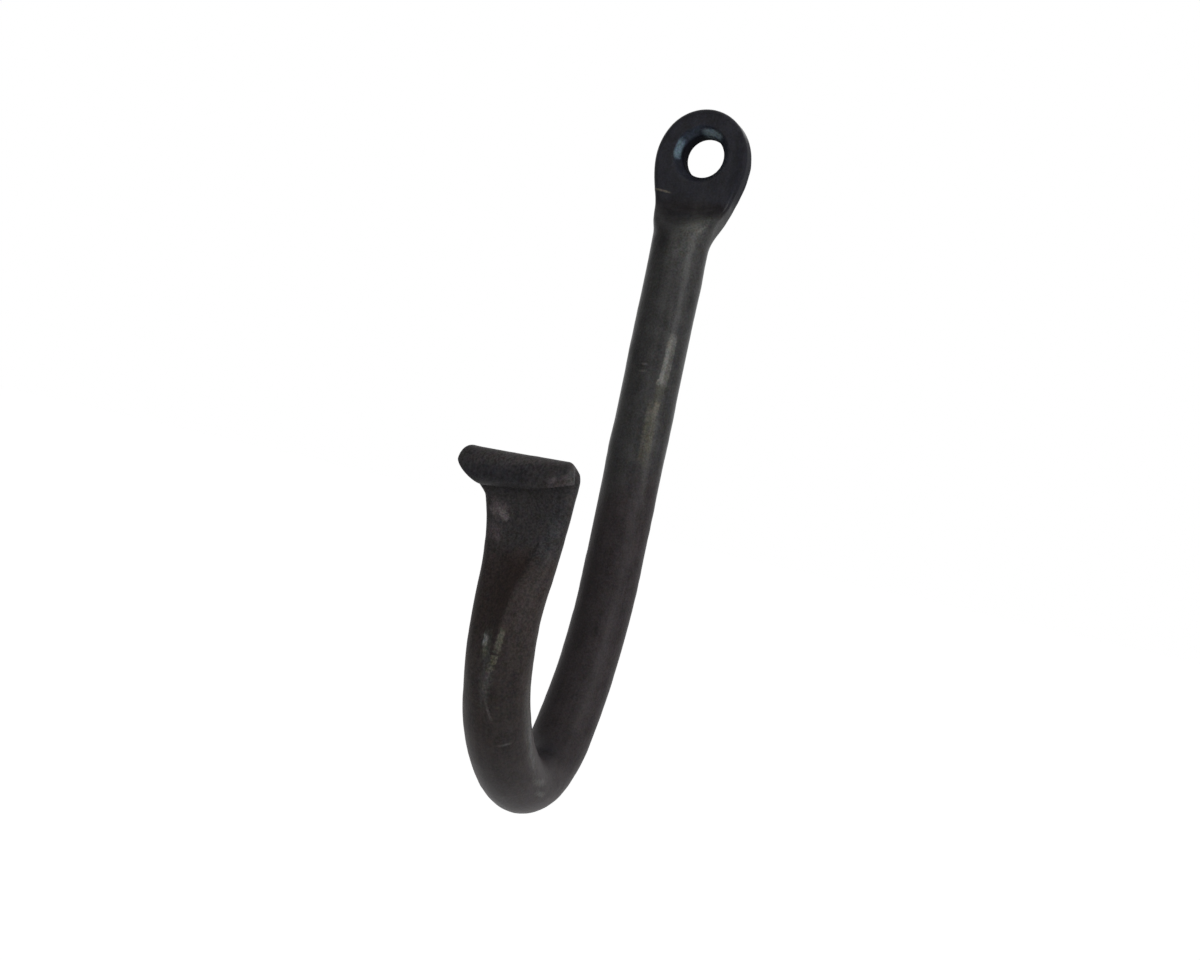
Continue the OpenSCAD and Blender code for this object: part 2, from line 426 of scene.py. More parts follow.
def bend(x, n, s):
    """Bends the straight bar: a point sits at its height n over the axis, and past the tail's end
    the sheet wraps forward into a roll, whose radius and turn shrink from the left to the right."""
    over = np.clip((x + tail_end + left_flare) / (2 * tail_end + left_flare), 0, 1)
    start = bar_end - lip_lean * (1 - over)
    y, z, heading = axis_at(np.minimum(s, start))
    share = np.maximum(s - start, 0) / (bar_end + lip_run - start)
    roll = mix(roll_left, roll_right, over)
    turn = share * mix(turn_left, turn_right, over ** opening_power)
    along = (roll + n) * np.sin(turn)
    out = (roll + n) * np.cos(turn) - roll
    return np.stack([
        x,
        y + along * np.cos(heading) + out * np.sin(heading),
        z + along * np.sin(heading) - out * np.cos(heading),
    ], -1)


# ---- The forging ----
# All sections joined into one skin, with what the hammer leaves: the standing round side that
# ends in a tongue on the tail, a thin burr beside the eye, and shallow dents all over.
def stations(start, end, spacing):
    """Evenly spaced places along the bar from start up to end, end left out."""
    return np.linspace(start, end, round((end - start) / spacing) + 1)[:-1]


coarse, fine, finest = 0.62 * mm, 0.3 * mm, 0.12 * mm
fine_from = bar_end - 32 * mm
top_angles = np.linspace(2.5 * degree, math.acos(neck_rise / eye_r), 29)[:-1]
eye_s = -eye_r * np.cos(top_angles)
neck_s = stations(-neck_rise, neck_len, fine)
shank_s = stations(neck_len, fine_from, coarse)
drawn_s = stations(fine_from, bar_end, fine)
lip_s = stations(0, lip_run - edge_ease, finest)
ease = np.linspace(0, math.pi / 2, 5)
lip_s = np.concatenate([lip_s, lip_run - edge_ease + edge_ease * np.sin(ease)])
inset = np.concatenate([np.zeros(len(lip_s) - len(ease)), edge_ease * (1 - np.cos(ease))])

blocks = [eye_sections(eye_s), neck_sections(neck_s), bar_sections(shank_s), bar_sections(drawn_s),
          lip_sections(lip_s, inset)]
x = np.concatenate([block[0] for block in blocks])
n = np.concatenate([block[1] for block in blocks])
s = np.concatenate([eye_s, neck_s, shank_s, drawn_s, bar_end + lip_s])[:, None] + 0 * x

tongue_tip_s = bar_end - 10.8 * mm
tongue_tip_x = 3.3 * mm
tongue_foot_s = bar_end - 27.6 * mm
tongue_foot_x = 0.9 * mm
tongue_rise = 1.25 * mm
tongue_step = 0.5 * mm
tongue_slant = 0.8
tongue_inset = 0.8 * mm
plane_from = tail_at + 8 * mm
plane_run = 14 * mm
fade_to = tongue_tip_s + 1 * mm
fade_run = 11 * mm
soft_step = 0.6 * mm


def crease_at(s):
    """Where the hammered face meets the round side: a line that leans from the foot to the tip."""
    return mix(tongue_foot_x, tongue_tip_x, (s - tongue_foot_s) / (tongue_tip_s - tongue_foot_s))


def outer_swell(x, s, w, h):
    """How much higher the outer face stands than the evenly thinned one, as a factor. Left of the
    crease the face is a plane that climbs from the left knee to the crease. Right of it stands the
    round side, a quarter ellipse, cut off along a line that drops from the tongue's tip."""
    crease = crease_at(s)
    starts = smooth((s - plane_from) / plane_run)
    fades = smooth((fade_to - s) / fade_run)
    end_s = tongue_tip_s - tongue_slant * (x - tongue_tip_x)
    stands = starts * smooth((end_s - s) / soft_step + 0.5)
    knee = w - h
    even = np.sqrt(h ** 2 - np.clip(np.abs(x) - knee, 0, 0.999 * h) ** 2)
    climb = np.clip((x + knee) / np.maximum(crease + knee, 0.3 * mm), 0, 1)
    plane = even * (1 + tongue_rise * starts * fades * climb / h)
    top = h + mix(tongue_step, tongue_rise, fades) * stands
    middle = crease - tongue_inset
    over = np.clip((x - middle) / (w - middle), 0, 0.999)
    round_side = mix(even, top * np.sqrt(1 - over ** 2), stands)
    return mix(plane, round_side, smooth((x - crease) / soft_step + 0.5)) / even


in_tail = (s[:, 0] > tail_at) & (s[:, 0] < bar_end)
tail_x, tail_n, tail_s = x[in_tail], n[in_tail], s[in_tail]
swell = outer_swell(tail_x, tail_s, tail_width(tail_s), tail_half(tail_s))
n[in_tail] = np.where(tail_n < 0, tail_n * swell, tail_n)

# The burr is a thin raised line that runs in from the left edge of the eye's front at a slant.
burr_s = 7.2 * mm
burr_slant = 0.12
burr_wide = 0.22 * mm
burr_high = 0.22 * mm
burr_end_x = -4.2 * mm
burr_mid_x = -6 * mm
burr_fade = 1.2 * mm
burr_low = -1.5 * mm
burr_low_run = 0.8 * mm
burr = np.exp(-((s - burr_s - burr_slant * (x - burr_mid_x)) / burr_wide) ** 2)
burr = burr * smooth((burr_end_x - x) / burr_fade) * smooth((n - burr_low) / burr_low_run)
n = n + burr_high * burr

skin = bend(x, n, s)


def wavering(place, size, seed, waves=60):
    """Smooth random heights of about +-1: a sum of cosine waves in random directions and phases,
    each between 0.7 and 1.6 times the given size from crest to crest."""
    rng = np.random.default_rng(seed)
    ways = rng.normal(size=(waves, 3))
    ways /= np.linalg.norm(ways, axis=1)[:, None]
    pitch = size * rng.uniform(0.7, 1.6, waves)
    phase = rng.uniform(0, 2 * math.pi, waves)
    total = np.zeros(place.shape[:-1])
    for way, length, start in zip(ways, pitch, phase):
        total += np.cos(place @ way * (2 * math.pi / length) + start)
    return total / math.sqrt(waves / 2)


def outward(skin):
    """Unit normals of a grid that is closed round the bar: the cross product of its two slopes."""
    down = np.gradient(skin, axis=0)
    round_about = np.roll(skin, -1, 1) - np.roll(skin, 1, 1)
    normal = np.cross(down, round_about)
    return normal / np.linalg.norm(normal, axis=-1)[..., None]


# The dents are pressed in along the skin's normals, except round the hole, and never past the wall.
hammer_face, hammer_depth = 9 * mm, 0.045 * mm
scale_grain, scale_depth = 2.2 * mm, 0.012 * mm
highest = 0.02 * mm
flat_round_hole = 6.2 * mm

straight = np.stack([x, n, s], -1)
normal = outward(skin)
dents = (hammer_depth * wavering(straight, hammer_face, 11)
         + scale_depth * wavering(straight, scale_grain, 12))
clear_of_hole = smooth((np.hypot(x, s) - flat_round_hole) / (3 * mm))
dents = np.minimum(dents, highest) * clear_of_hole
skin = skin + normal * dents[..., None]
skin[..., 1] = np.minimum(skin[..., 1], 0)

# Coats rub the sharp edges, where the skin turns by more than sharp_edge in radians a millimetre.
# Painted shade lies on the hammered plane, darkest just left of the crease where the plane sits
# below the round side, and fades out all round.
sharp_edge = 0.35
sharper = 0.5
shade_edge = 0.5 * mm
shade_reach = 6.5 * mm
shade_from = tongue_foot_s - 2 * mm
shade_grows = 9 * mm
shade_fades = 5 * mm
across = np.roll(skin, -1, 1) - np.roll(skin, 1, 1)
turning = np.roll(normal, -1, 1) - np.roll(normal, 1, 1)
curved = (across * turning).sum(-1) / (across ** 2).sum(-1)
rubbed = smooth((curved * mm - sharp_edge) / sharper)
left_of_crease = crease_at(s) - x
scoop_shade = smooth(left_of_crease / shade_edge) * smooth(1.2 - left_of_crease / shade_reach) * (n < 0)
scoop_shade = scoop_shade * smooth((s - shade_from) / shade_grows)
scoop_shade = scoop_shade * smooth((tongue_tip_s - s) / shade_fades)


def skin_faces(rings, count):
    """Faces of a closed skin: a square between each pair of neighbours on two rings, a fan round a
    middle point on the first ring, and strips from front to back across the last ring."""
    ring = np.arange(rings - 1)[:, None] * count
    here = np.arange(count)[None]
    there = (here + 1) % count
    squares = np.stack([ring + here, ring + count + here, ring + count + there, ring + there], -1)
    fan = np.stack([0 * here + rings * count, here, there], -1)
    last = (rings - 1) * count
    i = np.arange(1, count // 2 - 1)
    strips = last + np.stack([i, (count - i) % count, count - i - 1, i + 1], -1)
    half = count // 2
    ends = last + np.array([(0, count - 1, 1), (half - 1, half + 1, half)])
    return (squares.reshape(-1, 4).tolist() + fan.reshape(-1, 3).tolist()
            + strips.tolist() + ends.tolist())


rings, count = x.shape
hook_mesh = bpy.data.meshes.new("hook_forging")
hook_mesh.from_pydata(
    np.concatenate([skin.reshape(-1, 3), skin[0].mean(0)[None]]), [], skin_faces(rings, count))
hook = bpy.data.objects.new("hook_forging", hook_mesh)
bpy.context.scene.collection.objects.link(hook)

# The mesh keeps each point's place on the straight bar, how rubbed it is, and how much painted
# shade lies on it.
kept_place = hook_mesh.attributes.new("straight", "FLOAT_VECTOR", "POINT")
kept_place.data.foreach_set(
    "vector", np.append(straight.reshape(-1, 3), straight[0].mean(0)).astype(np.float32))
for name, amount in (("rubbed", rubbed), ("scoop_shade", scoop_shade)):
    kept_amount = hook_mesh.attributes.new(name, "FLOAT", "POINT")
    kept_amount.data.foreach_set("value", np.append(amount.ravel(), 0).astype(np.float32))


# ---- The screw hole ----
# The eye is drilled through and countersunk from the front for a flat-headed wood screw. Both
# edges of the countersink are slightly rounded by use and by the finish.
screw_hole = next(m for m in frame["record"]["mounts"] if m["name"] == "screw_hole")
hole_r = screw_hole["dims"]["r_mm"] * mm
bore_len = screw_hole["dims"]["length_mm"] * mm
sink_r = 5 * mm
sink_h = eye_t - bore_len
mouth_round = 0.4 * mm
throat_round = 0.15 * mm
overrun = 1 * mm
last_slope = 12 * degree
drill_steps = 128
reach_round_hole = 6 * mm
rim_wear = 0.25
rim_out = 0.15 * mm
rim_wide = 0.25 * mm

cone_slope = math.atan2(sink_h, sink_r - hole_r)
mouth = np.linspace(cone_slope, last_slope, 5)
mouth_x = sink_r + mouth_round * math.tan(cone_slope / 2)
mouth_r = mouth_x - mouth_round * np.sin(mouth)
mouth_y = -eye_t + mouth_round * (1 - np.cos(mouth))
throat = np.linspace(math.pi / 2, cone_slope, 5)
throat_x = hole_r + throat_round
throat_back = bore_len - throat_round * math.tan((math.pi / 2 - cone_slope) / 2)
throat_r = throat_x - throat_round * np.sin(throat)
throat_y = -throat_back - throat_round * np.cos(throat)
profile_r = np.concatenate([[0, hole_r], throat_r, mouth_r,
                            [mouth_r[-1] + overrun / math.tan(last_slope), 0]])
profile_y = np.concatenate([[overrun, overrun], throat_y, mouth_y,
                            [mouth_y[-1] - overrun, mouth_y[-1] - overrun]])


def turned(name, radius, y, steps):
    """A solid of revolution about the screw's axis: the profile's radius times the cosine and sine
    of each step's angle, with its first and last points on the axis."""
    angle = np.arange(steps) * 2 * math.pi / steps
    r, depth = radius[1:-1, None], y[1:-1, None] + 0 * angle
    body = np.stack([r * np.cos(angle), depth, r * np.sin(angle)], -1).reshape(-1, 3)
    points = np.concatenate([body, [(0, y[0], 0), (0, y[-1], 0)]])
    row = np.arange(len(radius) - 3)[:, None] * steps
    here = np.arange(steps)[None]
    there = (here + 1) % steps
    sides = np.stack([row + here, row + there, row + steps + there, row + steps + here], -1)
    first, last = len(body), len(body) + 1
    top = (len(radius) - 3) * steps
    caps = np.concatenate([
        np.stack([0 * here + first, there, here], -1).reshape(-1, 3),
        np.stack([0 * here + last, top + here, top + there], -1).reshape(-1, 3),
    ])
    mesh = bpy.data.meshes.new(name)
    mesh.from_pydata(points, [], sides.reshape(-1, 4).tolist() + caps.tolist())
    return bpy.data.objects.new(name, mesh)


drill = turned("drill", profile_r, profile_y, drill_steps)
bpy.context.scene.collection.objects.link(drill)
drilling = hook.modifiers.new("drilling", "BOOLEAN")
drilling.operation = "DIFFERENCE"
drilling.solver = "EXACT"
drilling.object = drill
bpy.context.view_layer.update()
drilled = bpy.data.meshes.new_from_object(hook.evaluated_get(bpy.context.evaluated_depsgraph_get()))
drilled.name = "hook_forging"
hook.modifiers.clear()
hook.data = drilled
bpy.data.meshes.remove(hook_mesh)
bpy.data.objects.remove(drill)

# The eye is flat and straight, so a point's place on the straight bar follows from where it lies.
points = np.empty(len(drilled.vertices) * 3, np.float32)
drilled.vertices.foreach_get("co", points)
points = points.reshape(-1, 3)
from_hole = np.hypot(points[:, 0], points[:, 2])
in_eye = (from_hole < reach_round_hole) & (points[:, 1] > -eye_t - 0.5 * mm)
on_bar = np.empty(len(points) * 3, np.float32)
drilled.attributes["straight"].data.foreach_get("vector", on_bar)
on_bar = on_bar.reshape(-1, 3)
on_bar[in_eye] = (points * [1, -1, -1] - [0, bar_r, 0])[in_eye]
drilled.attributes["straight"].data.foreach_set("vector", on_bar.ravel())
worn = np.empty(len(points), np.float32)
drilled.attributes["rubbed"].data.foreach_get("value", worn)
on_rim = np.exp(-((from_hole - sink_r - rim_out) / rim_wide) ** 2)
worn[in_eye] = rim_wear * on_rim[in_eye]
drilled.attributes["rubbed"].data.foreach_set("value", worn)

drilled.shade_smooth()
drilled.set_sharp_from_angle(angle=40 * degree)

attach(hook, "root")
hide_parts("hook")


# ---- The finish ----
# Forge-black iron, oiled to a low satin: blue-black at the eye and brown-black on the tail, mottled
# and finely grained, with paler places where the scale has flaked off or is rubbed thin, and with
# painted highlights, reflections and shade laid over it as marks.
def add(tree, kind, inputs, **settings):
    """Adds a node to a tree. Its inputs are given as values or as other nodes' outputs."""
    made = tree.nodes.new(kind)
    for name, value in settings.items():
        setattr(made, name, value)
    for name, value in inputs.items():
        if isinstance(value, bpy.types.NodeSocket):
            tree.links.new(value, made.inputs[name])
        else:
            made.inputs[name].default_value = value
    return made


def new_group(name, takes, gives):
    """An empty node group with named inputs (name, kind, value) and outputs (name, kind)."""
    group = bpy.data.node_groups.new(name, "ShaderNodeTree")
    for socket, kind, value in takes:
        group.interface.new_socket(socket, in_out="INPUT", socket_type=kind).default_value = value
    for socket, kind in gives:
        group.interface.new_socket(socket, in_out="OUTPUT", socket_type=kind)
    take = group.nodes.new("NodeGroupInput").outputs
    give = group.nodes.new("NodeGroupOutput").inputs
    return group, take, give


def ramp(tree, value, low, high, to_low=0.0, to_high=1.0):
    """A smooth step of a value from low to high, put out between to_low and to_high."""
    return add(tree, "ShaderNodeMapRange", {
        "Value": value, "From Min": low, "From Max": high, "To Min": to_low, "To Max": to_high,
    }, interpolation_type="SMOOTHSTEP").outputs["Result"]


def noise(tree, place, scale, detail, roughness=0.5):
    """A noise between 0 and 1, with the scale in waves per millimetre."""
    return add(tree, "ShaderNodeTexNoise", {
        "Vector": place, "Scale": scale, "Detail": detail, "Roughness": roughness,
    }).outputs["Fac"]


def maths(tree, operation, a, b):
    """One sum, product or other operation on two values."""
    return add(tree, "ShaderNodeMath", {0: a, 1: b}, operation=operation).outputs[0]


def blend(tree, share, a, b, way="MIX"):
    """Colour a turned into, or multiplied by, colour b by a share."""
    return add(tree, "ShaderNodeMix", {"Factor": share, 6: a, 7: b},
               data_type="RGBA", blend_type=way).outputs[2]


def stretched(tree, place, scale):
    """A place scaled differently along each axis."""
    return add(tree, "ShaderNodeMapping", {"Vector": place, "Scale": scale}).outputs["Vector"]


def make_forge_scale():
    """Forge scale: a tone for each stretch of the bar, and a grain that is clouded, streaked along
    the bar and speckled, by which the finished colour is multiplied. Height is its orange peel with
    small pits, and Unevenness is where it is rougher."""
    tones = ("Eye", "Shank", "Bend", "Leg", "Tip")
    group, take, give = new_group(
        "forge_scale",
        [("Place", "NodeSocketVector", (0, 0, 0))]
        + [(tone, "NodeSocketColor", (0.02, 0.02, 0.02, 1)) for tone in tones]
        + [("Speckle", "NodeSocketFloat", 0.5)],
        [("Color", "NodeSocketColor"), ("Grain", "NodeSocketColor"),
         ("Height", "NodeSocketFloat"), ("Unevenness", "NodeSocketFloat")])
    place = take["Place"]
    split = add(group, "ShaderNodeSeparateXYZ", {"Vector": place}).outputs
    drift = maths(group, "SUBTRACT", noise(group, place, 0.25, 4, 0.6), 0.5)
    drift = maths(group, "MULTIPLY", drift, 7)
    along = maths(group, "ADD", split["Z"], drift)
    dip = maths(group, "MULTIPLY", maths(group, "POWER", split["X"], 2), 0.05)
    below_eye = ramp(group, maths(group, "ADD", split["Z"], dip), 10.6, 12.4)
    tone = blend(group, below_eye, take["Eye"], take["Shank"])
    slant = maths(group, "ADD", along, maths(group, "MULTIPLY", split["X"], 0.6))
    for name, where, start, end in (
        ("Bend", slant, 54, 64), ("Leg", along, 128, 146), ("Tip", along, 164.5, 168.5),
    ):
        tone = blend(group, ramp(group, where, start, end), tone, take[name])
    clouds = noise(group, place, 0.35, 5, 0.65)
    streaks = noise(group, stretched(group, place, (1.5, 1.5, 0.1)), 1, 3)
    specks = noise(group, place, 2.8, 3, 0.75)
    in_tail = ramp(group, split["Z"], 128, 165, 0.5, 1)
    strength = maths(group, "MULTIPLY", in_tail, take["Speckle"])
    lightness = maths(group, "ADD", ramp(group, clouds, 0.3, 0.7, 0.78, 1.22),
                      ramp(group, streaks, 0.25, 0.75, -0.12, 0.12))
    lightness = maths(group, "ADD", lightness,
                      maths(group, "MULTIPLY", ramp(group, specks, 0.3, 0.72, -0.5, 0.6), strength))
    pink = maths(group, "SUBTRACT", noise(group, place, 2.4, 3, 0.6), 0.5)
    blue = noise(group, stretched(group, place, (1.2, 1.2, -1.2)), 1, 3, 0.6)
    blue = maths(group, "SUBTRACT", blue, 0.5)
    tint = add(group, "ShaderNodeCombineXYZ", {
        "X": maths(group, "ADD", lightness, maths(group, "MULTIPLY", pink, 0.5)),
        "Y": maths(group, "SUBTRACT", lightness, maths(group, "MULTIPLY", pink, 0.3)),
        "Z": maths(group, "ADD", lightness, maths(group, "MULTIPLY", blue, 0.6))}).outputs[0]
    group.links.new(tone, give["Color"])
    group.links.new(tint, give["Grain"])
    pits = ramp(group, noise(group, place, 1.3, 4, 0.6), 0.3, 0.45, 0.0, 0.4)
    peel = maths(group, "ADD", maths(group, "MULTIPLY", noise(group, place, 2.2, 3), 0.6), pits)
    group.links.new(peel, give["Height"])
    uneven = maths(group, "ADD", maths(group, "MULTIPLY", clouds, in_tail),
                   ramp(group, along, 48, 70, 0, 0.7))
    group.links.new(uneven, give["Unevenness"])
    return group


def make_wear_and_light_patch():
    """A patch for wear marks and for painted light and shade: 1 inside a box with its own place,
    turn and half size, and 0 outside. The box's corners are rounded, as the fourth root of the sum
    of fourth powers, and noise makes its edge ragged."""
    group, take, give = new_group(
        "wear_and_light_patch",
        [("Place", "NodeSocketVector", (0, 0, 0)),
         ("Middle", "NodeSocketVector", (0, 0, 0)),
         ("Turn", "NodeSocketVector", (0, 0, 0)),
         ("Half Size", "NodeSocketVector", (1, 1, 1)),
         ("Ragged", "NodeSocketFloat", 0.4),
         ("Soft", "NodeSocketFloat", 0.2)],
        [("Mask", "NodeSocketFloat")])
    inside = add(group, "ShaderNodeMapping", {
        "Vector": take["Place"], "Location": take["Middle"], "Rotation": take["Turn"],
        "Scale": take["Half Size"]}, vector_type="TEXTURE").outputs["Vector"]
    split = add(group, "ShaderNodeSeparateXYZ", {
        "Vector": add(group, "ShaderNodeVectorMath", {0: inside}, operation="ABSOLUTE").outputs[0]})
    across = maths(group, "POWER", split.outputs["X"], 4)
    along = maths(group, "POWER", split.outputs["Z"], 4)
    corner = maths(group, "POWER", maths(group, "ADD", across, along), 1 / 4)
    reach = maths(group, "MAXIMUM", corner, split.outputs["Y"])
    rough = maths(group, "SUBTRACT", noise(group, take["Place"], 1.7, 5, 0.75), 0.5)
    rough = maths(group, "MULTIPLY", rough, maths(group, "MULTIPLY", take["Ragged"], 7))
    edge = maths(group, "SUBTRACT", 1, maths(group, "ADD", reach, rough))
    share = maths(group, "DIVIDE", edge, take["Soft"])
    group.links.new(ramp(group, share, -0.5, 0.5), give["Mask"])
    return group


iron = bpy.data.materials.new("black_iron")
iron.use_nodes = True
tree = iron.node_tree
shader = tree.nodes["Principled BSDF"]
kept = add(tree, "ShaderNodeAttribute", {}, attribute_name="straight")
place = add(tree, "ShaderNodeVectorMath", {0: kept.outputs["Vector"], "Scale": 1000.0},
            operation="SCALE").outputs[0]
scale_skin = add(tree, "ShaderNodeGroup", {}, node_tree=make_forge_scale())
tree.links.new(place, scale_skin.inputs["Place"])
for tone, paint in (
    ("Eye", (0.0188, 0.0188, 0.0238)),
    ("Shank", (0.0370, 0.0362, 0.0362)),
    ("Bend", (0.0298, 0.0252, 0.0264)),
    ("Leg", (0.0290, 0.0232, 0.0222)),
    ("Tip", (0.0290, 0.0268, 0.0275)),
):
    scale_skin.inputs[tone].default_value = (*paint, 1)
scale_skin.inputs["Speckle"].default_value = 0.9
color = scale_skin.outputs["Color"]
wear_and_light_patch = make_wear_and_light_patch()


def lay_on(color, marks, at=place):
    """Lays patches of wear and of painted light and shade over the colour, one after another. Each
    mark has a name, its paint, its middle on the straight bar in millimetres (across, up from the
    axis and along), its turns about the bar and about its face in degrees, half its size, and how
    ragged, soft and strong it is."""
    for name, paint, middle, turn, half_size, (ragged, soft, strength) in marks:
        patch = add(tree, "ShaderNodeGroup", {}, node_tree=wear_and_light_patch, label=name)
        tree.links.new(at, patch.inputs["Place"])
        patch.inputs["Middle"].default_value = middle
        patch.inputs["Turn"].default_value = (0, turn[1] * degree, turn[0] * degree)
        patch.inputs["Half Size"].default_value = half_size
        patch.inputs["Ragged"].default_value = ragged
        patch.inputs["Soft"].default_value = soft
        share = maths(tree, "MULTIPLY", patch.outputs["Mask"], strength)
        color = blend(tree, share, color, (*paint, 1))
    return color


rubbed_iron = (0.075, 0.069, 0.066, 1)
scoop_shade_tint = (0.66, 0.58, 0.55, 1)
rub = add(tree, "ShaderNodeAttribute", {}, attribute_name="rubbed").outputs["Fac"]
rub = maths(tree, "MULTIPLY", rub, ramp(tree, noise(tree, place, 0.5, 4, 0.7), 0.35, 0.65, 0.15, 1))
color = blend(tree, maths(tree, "MULTIPLY", rub, 0.5), color, rubbed_iron)
# Painted shade on the hammered plane left of the crease, with a brown tint.
scoop_shading = add(tree, "ShaderNodeAttribute", {}, attribute_name="scoop_shade").outputs["Fac"]
color = blend(tree, scoop_shading, color, scoop_shade_tint, "MULTIPLY")

# On the neck: darker below the shoulder's left, paler where the shoulder runs out on the right. The
# dark at the foot of the eye and on the neck's left is painted shade, the pale front of the neck is
# a painted highlight, and the dark right flank of the eye is painted shade.
color = lay_on(color, (
    # Painted shade in the corner where the eye meets the shoulder.
    ("painted shade at the foot of the eye", (0.0095, 0.0072, 0.0080), (0.6, -0.4, 9.7),
     (0, 3), (8.5, 4.0, 1.2), (0.1, 1.4, 0.85)),
    # Painted shade on the neck's left, the side away from the lamps.
    ("painted shade on the left of the neck", (0.0165, 0.0155, 0.0165), (-3.4, 1.5, 13.6),
     (0, 8), (2.7, 6.0, 4.4), (0.1, 1.8, 0.8)),
    # Painted highlight on the neck's front.
    ("painted highlight on the front of the neck", (0.062, 0.062, 0.059), (2.1, 2.5, 15.8),
     (0, -8), (1.8, 6.0, 4.8), (0.12, 1.6, 0.75)),
    # A paler band across the shoulder's right end.
    ("pale band on the shoulder", (0.100, 0.100, 0.092), (3.0, 2.5, 12.8),
     (0, -15), (1.4, 6.0, 1.5), (0.1, 1.5, 0.75)),
    # Painted shade on the eye's right flank.
    ("painted shade on the right side of the eye", (0.0065, 0.0068, 0.0095), (8.0, -2.7, 3.0),
     (-90, 0), (2.6, 1.6, 8.5), (0.1, 1.0, 0.65)),
))
# On the shank's front: a big pale patch and a strip below it, painted reflections of the lamp along
# the shank's highlight line, and two small scratches.
color = lay_on(color, (
    # Painted reflections: a pale patch and a strip along the shank's highlight line.
    ("reflection patch", (0.088, 0.086, 0.079), (3.45, 3.65, 37.0),
     (-42, -1), (0.86, 1.2, 4.5), (0.1, 0.3, 1)),
    ("its brightest middle", (0.140, 0.138, 0.126), (3.1, 3.95, 37.4),
     (-38, -3), (0.34, 1.2, 3.7), (0.25, 0.8, 0.8)),
    ("its bright foot", (0.125, 0.123, 0.112), (2.95, 4.05, 40.7),
     (-36, 0), (0.62, 1.2, 0.55), (0.15, 0.5, 0.8)),
    ("dim gap below it", (0.042, 0.041, 0.032), (3.1, 3.9, 42.7),
     (-39, 0), (0.7, 1.2, 1.6), (0.3, 1.0, 1)),
    ("head of the reflected strip", (0.088, 0.081, 0.060), (3.1, 3.9, 45.2),
     (-39, -10), (0.55, 1.2, 1.2), (0.25, 0.8, 1)),
    ("reflected strip", (0.076, 0.072, 0.060), (2.8, 4.15, 49.7),
     (-34, 2), (0.95, 1.2, 4.6), (0.2, 0.9, 1)),
    ("foot of the reflected strip", (0.047, 0.044, 0.042), (3.7, 3.3, 58.0),
     (-48, 6), (0.5, 1.2, 3.4), (0.3, 1.4, 0.7)),
    ("upper scratch", (0.105, 0.095, 0.098), (-0.1, 5.0, 38.1),
     (0, 5), (0.42, 0.8, 0.22), (0.15, 0.8, 1)),
    ("lower scratch", (0.074, 0.070, 0.065), (-0.3, 5.0, 39.3),
     (0, 8), (0.65, 0.8, 0.2), (0.15, 0.8, 1)),
))
# On the outer side of the leg: bright flecks, the grey smear between them and a scratch, with
# painted shade on the leg's right side and painted light on its left.
color = lay_on(color, (
    ("halo of the upper fleck", (0.060, 0.060, 0.050), (-0.3, -4.6, 152.8),
     (180, 3), (0.75, 1.2, 1.7), (0.4, 1.0, 1)),
    ("upper fleck", (0.21, 0.21, 0.20), (-0.72, -4.4, 153.6),
     (180, 0), (0.44, 1.2, 0.8), (0.25, 0.6, 1)),
    ("fleck below it", (0.110, 0.110, 0.085), (-0.45, -4.6, 152.2),
     (180, 6), (0.42, 1.2, 0.7), (0.35, 0.7, 1)),
    ("fleck on the right", (0.085, 0.081, 0.064), (1.75, -4.5, 154.1),
     (180, -6), (0.4, 1.2, 1.4), (0.5, 1.2, 1)),
    ("halo of the lower flecks", (0.054, 0.053, 0.050), (0.5, -4.6, 150.2),
     (180, 4), (0.85, 1.2, 1.7), (0.4, 1.2, 1)),
    ("straw fleck", (0.105, 0.098, 0.074), (1.3, -4.5, 151.6),
     (180, 0), (0.46, 1.2, 0.6), (0.4, 0.7, 1)),
    ("slanting straw fleck", (0.105, 0.098, 0.074), (0.95, -4.5, 150.2),
     (180, 30), (0.62, 1.2, 0.28), (0.35, 0.8, 1)),
    ("grey smear", (0.068, 0.064, 0.061), (0.35, -4.6, 147.6),
     (180, 0), (0.65, 1.2, 2.3), (0.2, 1.6, 1)),
    ("scratch below it", (0.085, 0.076, 0.074), (1.0, -4.6, 144.4),
     (180, 21), (0.2, 1.2, 1.4), (0.1, 0.9, 1)),
    ("brown speck", (0.050, 0.045, 0.032), (2.3, -4.2, 145.0),
     (180, 0), (0.3, 1.2, 0.2), (0.1, 0.8, 1)),
    # Painted shade on the leg's right side.
    ("painted shade on the leg's right side", (0.019, 0.0165, 0.016), (3.3, -3.5, 141.5),
     (-136, 0), (2.4, 1.6, 9.0), (0.12, 1.8, 0.75)),
    # Painted light on the leg's left side.
    ("painted light on the leg's left side", (0.042, 0.037, 0.036), (-2.9, -4.0, 145.5),
     (145, 0), (1.5, 1.4, 5.5), (0.2, 1.8, 0.7)),
))
